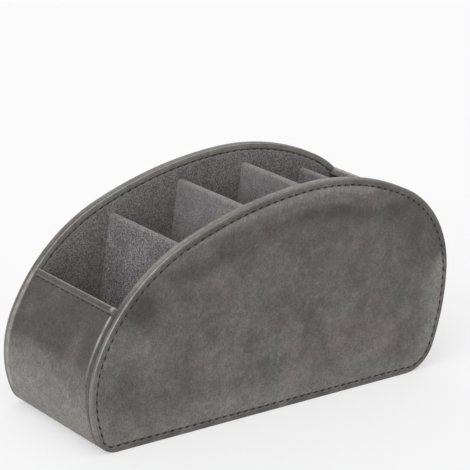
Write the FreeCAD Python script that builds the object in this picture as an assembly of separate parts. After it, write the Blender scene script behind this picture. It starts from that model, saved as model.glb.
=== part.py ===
import FreeCAD, Part
import math
import os

os.makedirs("parts", exist_ok=True)

# Remote control holder: two dome-shaped side panels with a low front wall, a base and a rear wall between
# them. Every wall is a board wrapped in leather outside and lined with suede inside, and four dividers lean
# back between the side panels. X runs from the low front lip to the tall rear, Y across, Z up. The origin is
# under the middle of the holder, on the surface that it stands on.

# Sheet and board thicknesses, in millimetres
leather_thickness = 1.0
suede_thickness = 0.8
wall_board_thickness = 2.8
divider_board_thickness = 1.4
glue_line = 0.1

# Whole holder
overall_width = 88.0
lip_height = 79.6
rear_height = 105.0

# Side outline, anticlockwise from the rear end of the flat foot: a radius and the turn of each tangent arc
rear_corner_radius = 21.7
rear_corner_degrees = 70.4
rear_edge_radius = 130.0
rear_edge_degrees = 20.9
shoulder_radius = 61.0
shoulder_degrees = 62.4
crown_radius = 146.5
crown_degrees = 29.4
slope_radius = 248.5
slope_degrees = 19.8
front_bend_radius = 103.5
front_bend_degrees = 43.2
front_corner_radius = 13.5
front_corner_degrees = 66.0

# Hems and folds
rim_band_width = 5.2
lip_hem_length = 6.5
rim_fold = 0.7
groove_gap = 0.2
groove_flare = 0.4
wall_fold = 1.2
hem_fold = 0.6

# Dividers
divider_count = 4
first_divider_setback = 56.6
divider_pitch = 45.2
divider_lean_degrees = 7.2
divider_drop = 11.7

# Sizes that follow from the ones above
wall_thickness = 2 * leather_thickness + 2 * glue_line + wall_board_thickness
board_inset = leather_thickness + glue_line
board_back = board_inset + wall_board_thickness
lining_inset = board_back + glue_line
floor_height = lining_inset + suede_thickness
panel_outer_y = overall_width / 2
panel_inner_y = panel_outer_y - wall_thickness
groove_depth = wall_thickness / 2
wall_half_width = panel_inner_y - glue_line
divider_half_width = wall_half_width
divider_thickness = divider_board_thickness + 2 * (suede_thickness + glue_line)


def vector(x, y, z):
    return FreeCAD.Vector(x, y, z)


def save(node, shape):
    """Write one node, as one clean solid."""
    solid = shape.removeSplitter()
    solid.exportStep("parts/" + node + ".step")


# Side outline as tangent arcs

def arc_end(arc):
    """Place and direction where an arc ends."""
    centre_x, centre_z, radius, start, end = arc
    angle = math.radians(end)
    return centre_x + radius * math.sin(angle), centre_z - radius * math.cos(angle), end


def arc_from(x, z, direction, radius, turn):
    """The arc that leaves a point in a direction and turns left."""
    angle = math.radians(direction)
    centre_x = x - radius * math.sin(angle)
    centre_z = z + radius * math.cos(angle)
    return centre_x, centre_z, radius, direction, direction + turn


def outline_arcs():
    """Arcs of the outline from the rear end of the foot round to its front end.

    The low front arc takes the radius that brings the outline back down to the foot.
    """
    arcs = []
    x, z, direction = 0.0, 0.0, 0.0
    for radius, turn in (
        (rear_corner_radius, rear_corner_degrees),
        (rear_edge_radius, rear_edge_degrees),
        (shoulder_radius, shoulder_degrees),
        (crown_radius, crown_degrees),
        (slope_radius, slope_degrees),
        (front_bend_radius, front_bend_degrees),
    ):
        arcs.append(arc_from(x, z, direction, radius, turn))
        x, z, direction = arc_end(arcs[-1])
    corner_start = 360.0 - front_corner_degrees
    corner_height = front_corner_radius * (1 - math.cos(math.radians(corner_start)))
    rise = math.cos(math.radians(direction)) - math.cos(math.radians(corner_start))
    low_front_radius = (corner_height - z) / rise
    arcs.append(arc_from(x, z, direction, low_front_radius, corner_start - direction))
    x, z, direction = arc_end(arcs[-1])
    arcs.append(arc_from(x, z, direction, front_corner_radius, front_corner_degrees))
    return arcs


def centred(arcs):
    """The same arcs, moved along X so that the outline's length is centred on the origin."""
    reach = [arc[0] + arc[2] for arc in arcs if arc[3] < 90 <= arc[4]]
    front = [arc[0] - arc[2] for arc in arcs if arc[3] < 270 <= arc[4]]
    middle = (reach[0] + front[0]) / 2
    return [(arc[0] - middle,) + arc[1:] for arc in arcs]


arcs = centred(outline_arcs())


def outline_point(direction, inset=0.0):
    """Point of the outline where it runs in a direction, moved inwards by inset."""
    for centre_x, centre_z, radius, start, end in arcs:
        if start <= direction <= end:
            angle = math.radians(direction)
            reach = radius - inset
            return centre_x + reach * math.sin(angle), centre_z - reach * math.cos(angle)


def direction_where(reached, low, high):
    """Direction between two limits at which a test on the outline's point turns true."""
    for step in range(60):
        middle = (low + high) / 2
        if reached(outline_point(middle)):
            high = middle
        else:
            low = middle
    return (low + high) / 2


front_x = outline_point(270)[0]
foot_rear_x = outline_point(0)[0]
foot_front_x = outline_point(360)[0]
lip_direction = direction_where(lambda point: point[1] < lip_height, 180, 330)
rear_direction = direction_where(lambda point: point[1] > rear_height, 30, 180)


def run_edges(start, end, inset, y):
    """Edges of the outline between two directions, moved inwards, in the plane at y."""
    edges = []
    for centre_x, centre_z, radius, first, last in arcs:
        low = max(first, start)
        high = min(last, end)
        if high - low < 1e-6:
            continue
        points = []
        for direction in (low, (low + high) / 2, high):
            angle = math.radians(direction)
            reach = radius - inset
            x = centre_x + reach * math.sin(angle)
            z = centre_z - reach * math.cos(angle)
            points.append(vector(x, y, z))
        edges.append(Part.Arc(*points).toShape())
    return edges


def foot_edge(inset, y):
    """The straight foot, moved upwards by inset."""
    return Part.makeLine(vector(foot_front_x, y, inset), vector(foot_rear_x, y, inset))


def link(start, end):
    """Straight edge between two points of the outline, each a (direction, inset, y)."""
    ends = []
    for direction, inset, y in (start, end):
        x, z = outline_point(direction, inset)
        ends.append(vector(x, y, z))
    return Part.makeLine(*ends)


def plate_face(inset, y):
    """Face of the whole outline, moved inwards by inset."""
    edges = run_edges(0, 360, inset, y) + [foot_edge(inset, y)]
    return Part.Face(Part.Wire(Part.__sortEdges__(edges)))


def plate(inset, y_from, y_to):
    """Plate of the whole outline between two depths."""
    return plate_face(inset, y_from).extrude(vector(0, y_to - y_from, 0))


def band(start, end, shallow, deep, half_width):
    """Part of a wall between two directions of the outline and two depths below it."""
    edges = run_edges(start, end, shallow, -half_width)
    edges += run_edges(start, end, deep, -half_width)
    edges.append(link((start, shallow, -half_width), (start, deep, -half_width)))
    edges.append(link((end, shallow, -half_width), (end, deep, -half_width)))
    face = Part.Face(Part.Wire(Part.__sortEdges__(edges)))
    return face.extrude(vector(0, 2 * half_width, 0))


def strip(start, end, shallow, deep, half_width):
    """A wall that runs from one direction at the front, along the foot, to another at the rear."""
    y = -half_width
    edges = run_edges(start, 360, shallow, y) + [foot_edge(shallow, y)] + run_edges(0, end, shallow, y)
    edges += run_edges(start, 360, deep, y) + [foot_edge(deep, y)] + run_edges(0, end, deep, y)
    edges.append(link((start, shallow, y), (start, deep, y)))
    edges.append(link((end, shallow, y), (end, deep, y)))
    face = Part.Face(Part.Wire(Part.__sortEdges__(edges)))
    return face.extrude(vector(0, 2 * half_width, 0))


def slab(half_width, bottom, top):
    """Flat piece over the straight foot."""
    length = foot_rear_x - foot_front_x
    return Part.makeBox(length, 2 * half_width, top - bottom, vector(foot_front_x, -half_width, bottom))


def further(direction, inset, distance):
    """Direction reached by going on along the outline, moved inwards, for a distance."""
    while True:
        for centre_x, centre_z, radius, start, end in arcs:
            if start <= direction < end:
                left = math.radians(end - direction) * (radius - inset)
                if left >= distance:
                    return direction + math.degrees(distance / (radius - inset))
                distance -= left
                direction = end
                break


def back_from(direction, inset, distance):
    """Direction reached by going back along the outline, moved inwards, for a distance."""
    while True:
        for centre_x, centre_z, radius, start, end in arcs:
            if start < direction <= end:
                left = math.radians(direction - start) * (radius - inset)
                if left >= distance:
                    return direction - math.degrees(distance / (radius - inset))
                distance -= left
                direction = start
                break


# Choice of edges to round

def on_plane(edge, y):
    box = edge.BoundBox
    return box.YLength < 1e-6 and abs(box.YMin - y) < 1e-6


def on_outline(edge):
    """Whether the middle of an edge lies on the outline."""
    middle = edge.valueAt((edge.FirstParameter + edge.LastParameter) / 2)
    x, z = middle.x, middle.z
    if foot_front_x < x < foot_rear_x and abs(z) < 1e-4:
        return True
    for centre_x, centre_z, radius, start, end in arcs:
        angle = math.degrees(math.atan2(x - centre_x, centre_z - z)) % 360
        on_arc = abs(math.hypot(x - centre_x, z - centre_z) - radius) < 1e-4
        if on_arc and start - 1e-6 <= angle <= end + 1e-6:
            return True
    return False


def rim_edges(shape, y):
    """The edges along the outline in the plane at y."""
    return [edge for edge in shape.Edges if on_plane(edge, y) and on_outline(edge)]


def end_edge(shape, direction, inset):
    """The edge across the holder at the end of a wall."""
    x, z = outline_point(direction, inset)
    chosen = []
    for edge in shape.Edges:
        middle = edge.valueAt((edge.FirstParameter + edge.LastParameter) / 2)
        across = edge.BoundBox.YLength > wall_half_width
        if across and math.hypot(middle.x - x, middle.z - z) < 1e-3:
            chosen.append(edge)
    return chosen


def fold(shape, edges, leg):
    """Fold of leather over an edge, as one narrow flat of equal legs."""
    return shape.makeChamfer(leg, edges)


# Side panels, drawn at the near side with their outer face at depth zero and then put in place

def panel_leather():
    """Outer leather, folded over the edge to the middle of the panel's thickness."""
    fold_end = groove_depth - groove_gap / 2
    sheet = plate(0, 0, fold_end)
    sheet = fold(sheet, rim_edges(sheet, 0), rim_fold)
    sheet = fold(sheet, rim_edges(sheet, fold_end), groove_flare)
    return sheet.cut(plate(leather_thickness, leather_thickness, fold_end + leather_thickness))


def panel_rim():
    """Leather hem strip from the middle of the edge round on to the inner face."""
    fold_start = groove_depth + groove_gap / 2
    inner_face = wall_thickness
    band_back = inner_face - leather_thickness
    hem = plate(0, fold_start, inner_face)
    hem = fold(hem, rim_edges(hem, inner_face), rim_fold)
    hem = fold(hem, rim_edges(hem, fold_start), groove_flare)
    hem = hem.cut(plate(leather_thickness, fold_start - leather_thickness, band_back))
    return hem.cut(plate(rim_band_width, fold_start, inner_face + leather_thickness))


def panel_board():
    return plate(board_inset, board_inset, board_back)


def panel_lining():
    return plate(rim_band_width + glue_line, lining_inset, floor_height)


def near_side(shape):
    placed = shape.copy()
    placed.translate(vector(0, -panel_outer_y, 0))
    return placed


def far_side(shape):
    return near_side(shape).mirror(vector(0, 0, 0), vector(0, 1, 0))


# Front wall, base and rear wall

lip_board_start = further(lip_direction, board_inset, board_inset)
rear_board_end = back_from(rear_direction, board_inset, board_inset)
lip_core_start = further(lip_direction, leather_thickness, leather_thickness)
rear_core_end = back_from(rear_direction, leather_thickness, leather_thickness)
lip_hem_end = further(lip_direction, wall_thickness, lip_hem_length)
rear_hem_end = back_from(rear_direction, wall_thickness, lip_hem_length)
hem_back = wall_thickness - leather_thickness


def wrap_leather():
    """One long strip, folded round the boards' sides and over the lip and the top of the rear wall."""
    wall = strip(lip_direction, rear_direction, 0, wall_thickness, wall_half_width)
    folds = rim_edges(wall, -wall_half_width) + rim_edges(wall, wall_half_width)
    folds += end_edge(wall, lip_direction, 0) + end_edge(wall, rear_direction, 0)
    wall = fold(wall, folds, wall_fold)
    tops = end_edge(wall, lip_direction, wall_thickness) + end_edge(wall, rear_direction, wall_thickness)
    wall = fold(wall, tops, hem_fold)
    core_half_width = wall_half_width - leather_thickness
    wall = wall.cut(strip(lip_core_start, rear_core_end, leather_thickness, hem_back, core_half_width))
    lining_depth = wall_thickness + leather_thickness
    lining_half_width = wall_half_width + leather_thickness
    return wall.cut(strip(lip_hem_end, rear_hem_end, hem_back, lining_depth, lining_half_width))


board_half_width = wall_half_width - board_inset


def front_wall_board():
    return band(lip_board_start, 360, board_inset, board_back, board_half_width)


def base_board():
    return slab(board_half_width, board_inset, board_back)


def rear_wall_board():
    return band(0, rear_board_end, board_inset, board_back, board_half_width)


def front_wall_lining():
    start = further(lip_hem_end, wall_thickness, glue_line)
    return band(start, 360, lining_inset, floor_height, wall_half_width)


def floor_lining():
    return slab(wall_half_width, lining_inset, floor_height)


def rear_wall_lining():
    end = back_from(rear_hem_end, wall_thickness, glue_line)
    return band(0, end, lining_inset, floor_height, wall_half_width)


# Dividers

def height_at(x):
    """Height of the outline's upper side at a place along the holder."""
    return outline_point(direction_where(lambda point: point[0] < x, 90, 270))[1]


def divider_top(floor_x):
    """Height of a divider's top, a drop below the outline where its leaning middle ends."""
    slope = math.tan(math.radians(divider_lean_degrees))
    top = height_at(floor_x) - divider_drop
    for step in range(20):
        top = height_at(floor_x + (top - floor_height) * slope) - divider_drop
    return top


def leaning_sheet(floor_x, thickness, top, rounded):
    """Upright sheet on the floor, leaning back, with a square or a folded round top."""
    lean = math.radians(divider_lean_degrees)
    slope = math.tan(lean)
    half = thickness / 2 / math.cos(lean)
    along = vector(math.sin(lean), 0, math.cos(lean))
    across = vector(along.z, 0, -along.x)
    y = -divider_half_width
    head = vector(floor_x + (top - floor_height) * slope, y, top)
    shoulder = head - along * (thickness / 2 if rounded else 0)
    front_foot = vector(floor_x - half, y, floor_height)
    rear_foot = vector(floor_x + half, y, floor_height)
    front_top = shoulder - across * (thickness / 2)
    rear_top = shoulder + across * (thickness / 2)
    if rounded:
        crest = Part.Arc(front_top, head, rear_top).toShape()
    else:
        crest = Part.makeLine(front_top, rear_top)
    edges = [
        Part.makeLine(front_foot, front_top),
        crest,
        Part.makeLine(rear_top, rear_foot),
        Part.makeLine(rear_foot, front_foot),
    ]
    face = Part.Face(Part.Wire(edges))
    return face.extrude(vector(0, 2 * divider_half_width, 0))


def divider_pieces(number):
    """Suede cover and board of one divider, counted from the front."""
    floor_x = front_x + first_divider_setback + (number - 1) * divider_pitch
    top = divider_top(floor_x)
    folded = leaning_sheet(floor_x, divider_thickness, top, True)
    pocket = leaning_sheet(floor_x, divider_thickness - 2 * suede_thickness, top - suede_thickness, False)
    board = leaning_sheet(floor_x, divider_board_thickness, top - suede_thickness - glue_line, False)
    return folded.cut(pocket), board


save("near_panel_leather", near_side(panel_leather()))
save("near_panel_rim", near_side(panel_rim()))
save("near_panel_board", near_side(panel_board()))
save("near_panel_lining", near_side(panel_lining()))
save("far_panel_leather", far_side(panel_leather()))
save("far_panel_rim", far_side(panel_rim()))
save("far_panel_board", far_side(panel_board()))
save("far_panel_lining", far_side(panel_lining()))
save("wrap_leather", wrap_leather())
save("front_wall_board", front_wall_board())
save("base_board", base_board())
save("rear_wall_board", rear_wall_board())
save("front_wall_lining", front_wall_lining())
save("floor_lining", floor_lining())
save("rear_wall_lining", rear_wall_lining())
for number in range(1, divider_count + 1):
    cover, board = divider_pieces(number)
    save("divider_%d_cover" % number, cover)
    save("divider_%d_board" % number, board)
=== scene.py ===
import math
import random

import bpy
import numpy as np
from mathutils import Matrix, Vector, geometry, noise


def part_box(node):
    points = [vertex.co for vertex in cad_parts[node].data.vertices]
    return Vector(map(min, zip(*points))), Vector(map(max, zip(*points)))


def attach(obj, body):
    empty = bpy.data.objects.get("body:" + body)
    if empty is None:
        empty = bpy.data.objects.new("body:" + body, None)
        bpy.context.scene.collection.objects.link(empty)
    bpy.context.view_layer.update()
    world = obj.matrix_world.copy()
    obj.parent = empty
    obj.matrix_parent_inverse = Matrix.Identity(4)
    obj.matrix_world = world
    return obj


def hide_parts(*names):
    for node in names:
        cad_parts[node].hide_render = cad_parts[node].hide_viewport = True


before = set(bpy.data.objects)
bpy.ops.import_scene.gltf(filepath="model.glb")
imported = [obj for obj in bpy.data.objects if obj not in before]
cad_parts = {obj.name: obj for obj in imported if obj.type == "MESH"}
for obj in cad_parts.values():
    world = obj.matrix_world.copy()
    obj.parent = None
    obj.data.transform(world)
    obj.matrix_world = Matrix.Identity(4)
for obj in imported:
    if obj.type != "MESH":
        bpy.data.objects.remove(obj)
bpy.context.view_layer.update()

# Remote control holder: waxed leather folded over boards, lined with suede, sewn round both side panels and
# along the lip. Lengths are in metres. X runs from the low front lip to the tall rear, Y across, Z up.

# Sheets, boards and clearances, as the solids have them
leather_thickness = 0.0010
suede_thickness = 0.0008
wall_board_thickness = 0.0028
divider_board_thickness = 0.0014
glue_line = 0.0001
half_width = -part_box("near_panel_leather")[0].y
wall_thickness = 2 * leather_thickness + 2 * glue_line + wall_board_thickness
floor_height = leather_thickness + glue_line + wall_board_thickness + glue_line + suede_thickness
wall_half_width = half_width - wall_thickness - glue_line
divider_half_width = wall_half_width
divider_thickness = divider_board_thickness + 2 * (suede_thickness + glue_line)
rim_band_width = 0.0052
lip_hem_length = 0.0065
groove_gap = 0.00004
groove_depth = 0.0005
groove_fold_end = wall_thickness / 2 - groove_gap / 2
lip_height = 0.0796
rear_height = 0.1050

# Side outline, anticlockwise from the rear end of the flat foot: radius and turn of each tangent arc
outline_turns = (
    (0.0217, 70.4),
    (0.1300, 20.9),
    (0.0610, 62.4),
    (0.1465, 29.4),
    (0.2485, 19.8),
    (0.1035, 43.2),
)
front_corner_radius = 0.0135
front_corner_degrees = 66.0

# Painted shade low down on the suede
low_shade_strength = 0.5
low_shade_height = 0.030

# Dividers
divider_count = 4
first_divider_setback = 0.0566
divider_pitch = 0.0452
divider_lean = math.radians(7.2)
divider_drop = 0.0117
# Painted light: every divider after the first is made paler all over, as the light falls on it
first_divider_painted_light = 0.0
other_divider_painted_light = 0.60
divider_crest_wear = 0.5
divider_corner_wear = 0.35

# Folds of the finished leather and suede
fold_radius = 0.0008
flare_radius = 0.0003
cut_radius = 0.0003
wall_fold_radius = 0.0014
near_fold_breadth = 0.0018
near_fold_depth = 0.0014
far_fold_radius = 0.0008
lip_fold_radius = 0.0011
lining_fold = (0.0004, 0.0004)
lining_margin = 0.0008
lining_turn_drop = 0.00008
lining_turn_reach = 0.0009
divider_fold = (0.0005, 0.0005)
divider_margin = 0.0010
divider_fold_share = 0.6
side_fold_steps = 6
sheet_share = 0.9

# Sewn rows: a groove with needle holes, a pressed line outside it and a soft crown inside it
seam_inset = 0.0036
seam_dip = 0.00034
seam_half_breadth = 0.00060
dip_between_stitches = 0.45
hole_dip = 0.00026
hole_half_breadth = seam_half_breadth * 0.6
press_line_inset = 0.0020
press_line_dip = 0.00010
press_line_half_breadth = 0.00025
crown_drop = 0.00034
crown_rise = 0.0012
crown_reach = 0.0050

# Thread
panel_stitch_count = 125
lip_stitch_count = 15
lip_seam_drop = 0.0045
stitch_share = 0.55
thread_width = 0.00078
thread_height = 0.00052
thread_slant = 0.00028
thread_proud = thread_height * 0.30
thread_bury = 0.00055
thread_corners = 8
thread_end_share = 0.55
thread_ply_length = 0.0009
hidden_row_fineness = 0.62
samples_per_stitch = 6

# The sewn row wanders a little: its inset at directions round the outline
seam_wander = (
    (0, 0.0036),
    (15, 0.0029),
    (45, 0.0026),
    (90, 0.0026),
    (112, 0.0034),
    (142, 0.0041),
    (165, 0.0037),
    (190, 0.0040),
    (215, 0.0042),
    (235, 0.0038),
    (262, 0.0040),
    (284, 0.0040),
    (308, 0.0028),
    (342, 0.0029),
    (360, 0.0036),
)

# Insets between which the rows of the panels' mesh follow that wander: start, full, fade and end
wander_stretch = (fold_radius, 0.0026, 0.0042, 0.0072)

# Spacing of the meshes
panel_spacing = 0.0026
lining_spacing = 0.0030
wall_spacing = 0.0024
base_spacing = 0.0030
edge_spacing = 0.0004
hem_spacing = 0.0009
fine_run = 0.0085

# Slow waves of glued leather and suede: how high and how long, and the insets between which they rise
leather_wave = 0.00012
panel_wave_length = 0.034
strip_wave_length = 0.030
panel_wave_rise = (0.0065, 0.020)
panel_lining_wave = (0.00012, 0.021)
panel_lining_rise = (0.008, 0.016)
wall_lining_wave = (0.00010, 0.018)
divider_wave = (0.00010, 0.020)

# Steps that close in on a place
halvings = 50
settling_steps = 20


# Outline

def arc_from(x, z, direction, radius, turn):
    """The arc that leaves a point in a direction and turns left."""
    angle = math.radians(direction)
    centre_x = x - radius * math.sin(angle)
    centre_z = z + radius * math.cos(angle)
    return centre_x, centre_z, radius, direction, direction + turn


def arc_end(arc):
    """Place and direction where an arc ends."""
    centre_x, centre_z, radius, start, end = arc
    angle = math.radians(end)
    return centre_x + radius * math.sin(angle), centre_z - radius * math.cos(angle), end


def outline_arcs():
    """Arcs of the outline from the rear end of the foot round to its front end, centred along X."""
    arcs = []
    x, z, direction = 0.0, 0.0, 0.0
    for radius, turn in outline_turns:
        arcs.append(arc_from(x, z, direction, radius, turn))
        x, z, direction = arc_end(arcs[-1])
    corner_start = 360.0 - front_corner_degrees
    corner_height = front_corner_radius * (1 - math.cos(math.radians(corner_start)))
    rise = math.cos(math.radians(direction)) - math.cos(math.radians(corner_start))
    arcs.append(arc_from(x, z, direction, (corner_height - z) / rise, corner_start - direction))
    x, z, direction = arc_end(arcs[-1])
    arcs.append(arc_from(x, z, direction, front_corner_radius, front_corner_degrees))
    reach = [arc[0] + arc[2] for arc in arcs if arc[3] < 90 <= arc[4]][0]
    front = [arc[0] - arc[2] for arc in arcs if arc[3] < 270 <= arc[4]][0]
    middle = (reach + front) / 2
    return [(arc[0] - middle,) + arc[1:] for arc in arcs]


arcs = outline_arcs()


def outline_point(direction, inset=0.0):
    """Point of the outline where it runs in a direction, moved inwards by inset."""
    for centre_x, centre_z, radius, start, end in arcs:
        if start <= direction <= end:
            angle = math.radians(direction)
            reach = radius - inset
            return centre_x + reach * math.sin(angle), centre_z - reach * math.cos(angle)


def direction_where(reached, low, high):
    """Direction between two limits at which a test on the outline's point turns true."""
    for step in range(halvings):
        middle = (low + high) / 2
        if reached(outline_point(middle)):
            high = middle
        else:
            low = middle
    return (low + high) / 2


front_x = outline_point(270)[0]
foot_rear_x = outline_point(0)[0]
foot_front_x = outline_point(360)[0]
lip_direction = direction_where(lambda point: point[1] < lip_height, 180, 330)
rear_direction = direction_where(lambda point: point[1] > rear_height, 30, 180)


def round_length(inset):
    """Length of the whole outline, moved inwards by inset."""
    turned = sum(math.radians(end - start) * (radius - inset) for _, _, radius, start, end in arcs)
    return turned + foot_rear_x - foot_front_x


def distance_to(direction, inset):
    """Distance along the outline, moved inwards, from the rear end of the foot to a direction."""
    distance = 0.0
    for centre_x, centre_z, radius, start, end in arcs:
        distance += math.radians(min(max(direction, start), end) - start) * (radius - inset)
    return distance


def walk(distance, inset):
    """Place on the outline moved inwards, and its direction, after a distance along it."""
    distance %= round_length(inset)
    for centre_x, centre_z, radius, start, end in arcs:
        length = math.radians(end - start) * (radius - inset)
        if distance <= length:
            angle = math.radians(start) + distance / (radius - inset)
            reach = radius - inset
            return centre_x + reach * math.sin(angle), centre_z - reach * math.cos(angle), math.degrees(angle)
        distance -= length
    return foot_front_x + distance, inset, 360.0


def stations(count, inset):
    """Evenly spaced places along the outline at an inset: outline points, inward normals and directions."""
    length = round_length(inset)
    places = [walk(length * index / count, inset) for index in range(count)]
    directions = np.array([place[2] for place in places])
    angles = np.radians(directions)
    inward = np.stack([-np.sin(angles), np.cos(angles)], 1)
    points = np.array([place[:2] for place in places]) - inward * inset
    return points, inward, directions


def seam_place(directions):
    """Inset of the sewn row at directions round the outline."""
    ways, insets = zip(*seam_wander)
    return np.interp(directions, ways, insets)


# Soft shapes

def bell(value, middle, breadth):
    """1 at the middle, falling off on both sides."""
    return np.exp(-((value - middle) / breadth) ** 2)


def smooth_step(value, low, high):
    """0 up to low, 1 from high on."""
    share = np.clip((np.asarray(value) - low) / (high - low), 0, 1)
    return share * share * (3 - 2 * share)


def stretch(value, start, full, fade, end):
    """1 between full and fade, 0 before start and after end."""
    return smooth_step(value, start, full) * (1 - smooth_step(value, fade, end))


def swell(points, size, seed):
    """Smooth rise and fall over a surface, between about -1 and 1, for each of the points."""
    shift = Vector((seed * 1.7, seed * 0.9, seed * 2.3))
    return np.array([noise.noise(Vector(point) / size + shift) for point in points])


def thread_pull(phase):
    """How hard a seam pulls: 1 under a stitch, 0 between two stitches, along one pitch from 0 to 1."""
    return 1 - smooth_step(np.abs(phase - 0.5), stitch_share / 2 - 0.06, stitch_share / 2 + 0.1)


def hole_pull(phase):
    """1 at the two needle holes of a stitch."""
    return bell(np.abs(phase - 0.5), stitch_share / 2, 0.1)


def seam_drop(inset, phase):
    """How far the face lies below its plane near a sewn edge."""
    pull = dip_between_stitches + (1 - dip_between_stitches) * thread_pull(phase)
    dip = bell(inset, seam_inset, seam_half_breadth) * seam_dip * pull
    holes = bell(inset, seam_inset, hole_half_breadth) * hole_dip * hole_pull(phase)
    press = press_line_dip * bell(inset, press_line_inset, press_line_half_breadth)
    crown = crown_drop * np.exp(-np.maximum(inset - seam_inset, 0) / crown_reach)
    crown = crown * smooth_step(inset, seam_inset - crown_rise, seam_inset)
    return dip + holes + press + crown


stitch_dip = seam_drop(np.array([seam_inset]), np.array([0.5]))[0]


# Mesh pieces

def make_piece(name, points, faces, material, values=None, replaced=()):
    """Smooth mesh piece with one value per point for each named surface mask."""
    mesh = bpy.data.meshes.new(name)
    mesh.from_pydata([tuple(point) for point in points], [], faces)
    for mask, numbers in (values or {}).items():
        layer = mesh.attributes.new(mask, "FLOAT", "POINT")
        layer.data.foreach_set("value", np.asarray(numbers, np.float32))
    mesh.polygons.foreach_set("use_smooth", [True] * len(mesh.polygons))
    mesh.materials.append(material)
    mesh.validate()
    mesh.update()
    piece = bpy.data.objects.new(name, mesh)
    bpy.context.scene.collection.objects.link(piece)
    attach(piece, "root")
    if replaced:
        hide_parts(*replaced)
    return piece


def thicken(piece, thickness):
    """Gives a sheet its thickness, inwards from the side that its faces look to."""
    solid = piece.modifiers.new("sheet", "SOLIDIFY")
    solid.thickness = thickness
    solid.offset = -1
    solid.use_even_offset = False
    bpy.context.view_layer.update()
    evaluated = piece.evaluated_get(bpy.context.evaluated_depsgraph_get())
    mesh = bpy.data.meshes.new_from_object(evaluated)
    piece.modifiers.clear()
    piece.data = mesh


def loop_faces(first, second, count, flip):
    """Quads between two closed rows of points that start at the given numbers."""
    faces = []
    for index in range(count):
        after = (index + 1) % count
        quad = (first + index, first + after, second + after, second + index)
        faces.append(quad[::-1] if flip else quad)
    return faces


def grid_faces(shape, flip):
    """Quads of a grid of points stored row by row."""
    rows, columns = shape
    faces = []
    for row in range(rows - 1):
        for column in range(columns - 1):
            corner = row * columns + column
            quad = (corner, corner + 1, corner + columns + 1, corner + columns)
            faces.append(quad[::-1] if flip else quad)
    return faces


def quarter(steps):
    """Angles of a quarter turn, both ends included."""
    return [math.radians(90 * step / steps) for step in range(steps + 1)]


# Side panels. Depth runs from a panel's face into it, inset from the outline into the face.

face_insets = (0.0014, 0.0017, 0.0019, 0.0021, 0.0023, 0.0026, 0.0029, 0.0031, 0.0033, 0.0036, 0.0039,
               0.0041, 0.0044, 0.0048)
outer_face_insets = face_insets + (0.0054, 0.0062, 0.0072)


def edge_section(insets):
    """(inset, depth) pairs from the end of the fold in the panel's edge, over the corner, on to the face."""
    section = [(groove_depth, groove_fold_end)]
    for angle in quarter(3):
        run = flare_radius * (1 - math.sin(angle))
        section.append((run, groove_fold_end - flare_radius * (1 - math.cos(angle))))
    for angle in quarter(6):
        section.append((fold_radius * (1 - math.cos(angle)), fold_radius * (1 - math.sin(angle))))
    return section + [(inset, 0.0) for inset in insets]


def fill_points(edge_points, spacing, edge_inset):
    """Flat grid of points inside a closed edge, kept clear of it."""
    low = edge_points.min(0)
    high = edge_points.max(0)
    columns = np.arange(low[0] + spacing / 2, high[0], spacing)
    rows = np.arange(low[1] + spacing / 2, high[1], spacing * math.sqrt(0.75))
    grid = [(x + (spacing / 2 if number % 2 else 0), z) for number, z in enumerate(rows) for x in columns]
    grid = np.array(grid)
    return grid[nearest_edge(grid)[0] > edge_inset + spacing * 0.8]


dense_outline = stations(1500, 0.0)


def nearest_edge(points):
    """Distance of flat points from the outline, positive inside, and the outline's direction there."""
    outline, inward, directions = dense_outline
    insets, ways = [], []
    for point in points:
        offset = point - outline
        nearest = np.argmin((offset ** 2).sum(1))
        insets.append(offset[nearest] @ inward[nearest])
        ways.append(directions[nearest])
    return np.array(insets), np.array(ways)


def panel_mesh(section, closing, edge_drop, filled, side, inner, spacing):
    """Points, faces, insets, depths and directions of a panel's skin.

    section holds (inset, depth) pairs in order towards the face, and closing those that run back under the
    skin. edge_drop gives the face's drop, and filled says that the face goes on over the whole panel.
    """
    count = panel_stitch_count * samples_per_stitch
    outline, inward, directions = stations(count, seam_inset)
    phase = (np.arange(count) % samples_per_stitch) / samples_per_stitch
    wander = seam_place(directions) - seam_inset
    rows = closing + section
    flats, depths, insets, ways = [], [], [], []
    for inset, depth in rows:
        on_face = depth < fold_radius * 0.5
        follows = stretch(inset, *wander_stretch) * on_face
        flats.append(outline + inward * (inset + wander * follows)[:, None])
        depths.append(np.full(count, depth) + (edge_drop(inset, phase) if on_face else 0.0))
        insets.append(np.full(count, inset))
        ways.append(directions)
    flip = (side > 0) != inner
    faces = []
    for row in range(len(rows) - 1):
        faces += loop_faces(row * count, (row + 1) * count, count, flip)
    last_row = (len(rows) - 1) * count
    if filled:
        ring = list(range(count))
        grid = fill_points(flats[-1], spacing, rows[-1][0])
        flat = [Vector(point) for point in np.concatenate([flats[-1], grid])]
        made = geometry.delaunay_2d_cdt(flat, [], [ring], 1, 1e-9)
        origin = [sources[0] for sources in made[3]]
        for triangle in made[2]:
            corners = [last_row + origin[corner] for corner in triangle]
            faces.append(corners[::-1] if flip else corners)
        grid_insets, grid_ways = nearest_edge(grid)
        flats.append(grid)
        depths.append(edge_drop(grid_insets, np.zeros(len(grid))) + rows[-1][1])
        insets.append(grid_insets)
        ways.append(grid_ways)
        faces.append(ring if flip else ring[::-1])
    else:
        faces += loop_faces(last_row, 0, count, flip)
    flat = np.concatenate(flats)
    depth = np.concatenate(depths)
    face_place = half_width - wall_thickness + depth if inner else half_width - depth
    points = np.stack([flat[:, 0], side * face_place, flat[:, 1]], 1)
    return points, faces, np.concatenate(insets), depth, np.concatenate(ways)


# Looks of the panels' leather

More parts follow.
